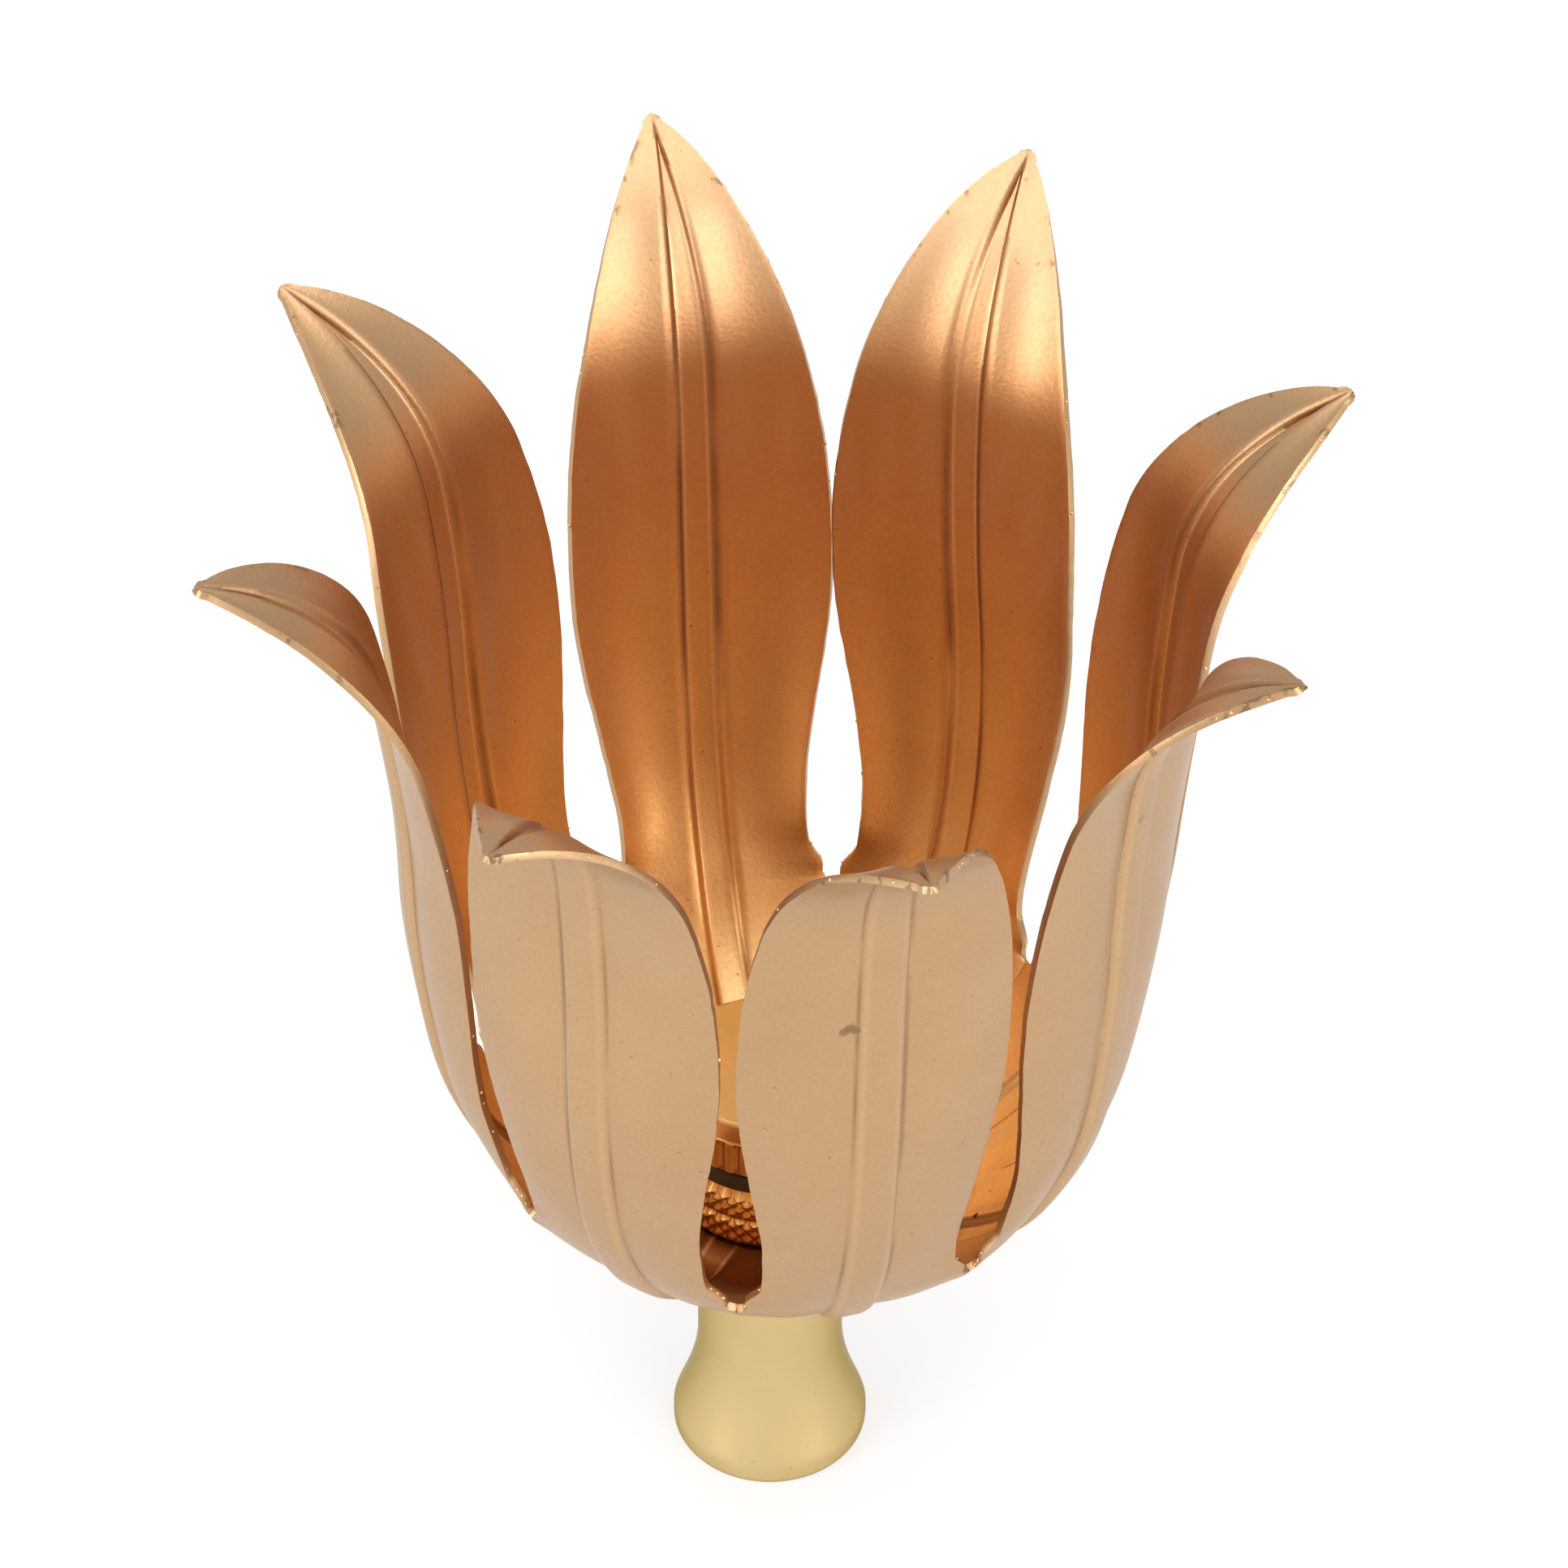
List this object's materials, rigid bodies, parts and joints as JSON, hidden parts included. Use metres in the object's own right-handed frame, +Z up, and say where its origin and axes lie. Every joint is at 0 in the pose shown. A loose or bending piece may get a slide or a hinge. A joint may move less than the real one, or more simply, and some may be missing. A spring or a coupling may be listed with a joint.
{
  "type": "leaf cup lamp finial",
  "caption": "Lamp finial: a pressed sheet-metal cup of pointed, outward-curling leaves, held by knurled nuts on a short turned brass neck that stands on its flared foot.",
  "frame": {"origin": "centre of the neck's foot, on the surface it stands on", "axes": "+Z up the neck's axis; -Y towards the viewer of the picture, +X to their right"},
  "size_m": [0.0878, 0.0876, 0.1054],
  "materials": {
    "neck": "satin pale brass, turned and lacquered",
    "leaf_cup": "satin rose-gold lacquer on pressed sheet",
    "knurled_collar": "bright knurled brass",
    "washer": "matt black",
    "reeded_nut": "satin yellow brass with a reeded wall"
  },
  "bodies": {
    "root": {"neck": "neck", "leaf_cup": "leaf_cup", "knurled_collar": "knurled_collar", "washer": "washer", "reeded_nut": "reeded_nut"}
  },
  "joints": []
}
